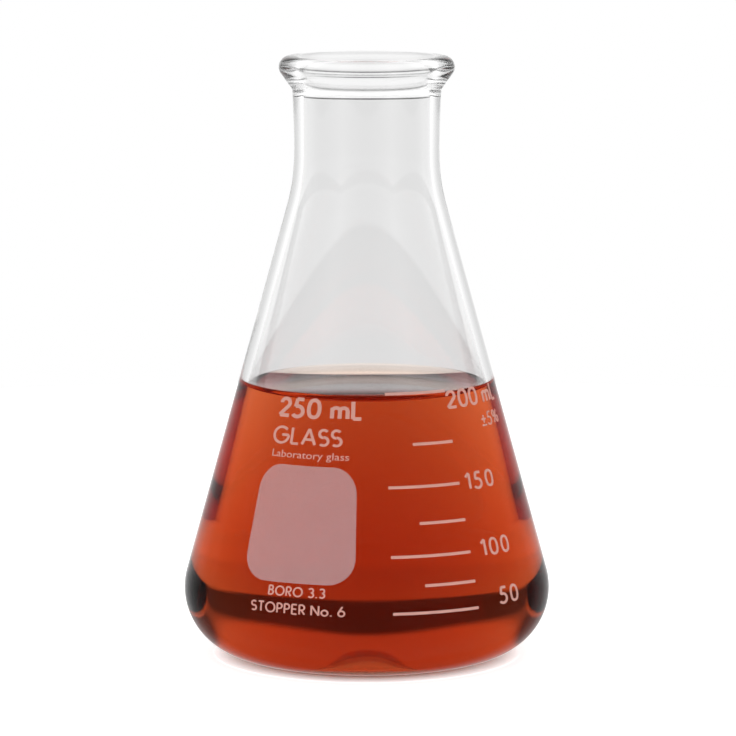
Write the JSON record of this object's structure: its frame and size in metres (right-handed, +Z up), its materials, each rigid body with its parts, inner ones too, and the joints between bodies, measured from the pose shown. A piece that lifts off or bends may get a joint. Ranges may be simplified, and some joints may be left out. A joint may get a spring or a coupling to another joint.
{
  "type": "erlenmeyer flask",
  "caption": "Conical glass laboratory flask with a beaded neck, holding a red liquid, with a white marking spot and graduation lines printed on the cone.",
  "frame": {"origin": "centre of the base, on the plane of the flat ring on which the flask stands", "axes": "+Z up along the flask's axis; the print faces -Y, with the marking spot towards -X and the graduation lines towards +X"},
  "size_m": [0.0808, 0.0808, 0.132],
  "materials": {
    "borosilicate_glass": "clear, polished",
    "red_liquid": "clear liquid",
    "enamel": "satin"
  },
  "bodies": {
    "root": {"glass_flask": "borosilicate_glass", "liquid": "red_liquid", "marking_spot": "enamel", "line_200": "enamel", "line_175": "enamel", "line_150": "enamel", "line_125": "enamel", "line_100": "enamel", "line_75": "enamel", "line_50": "enamel"}
  },
  "joints": []
}
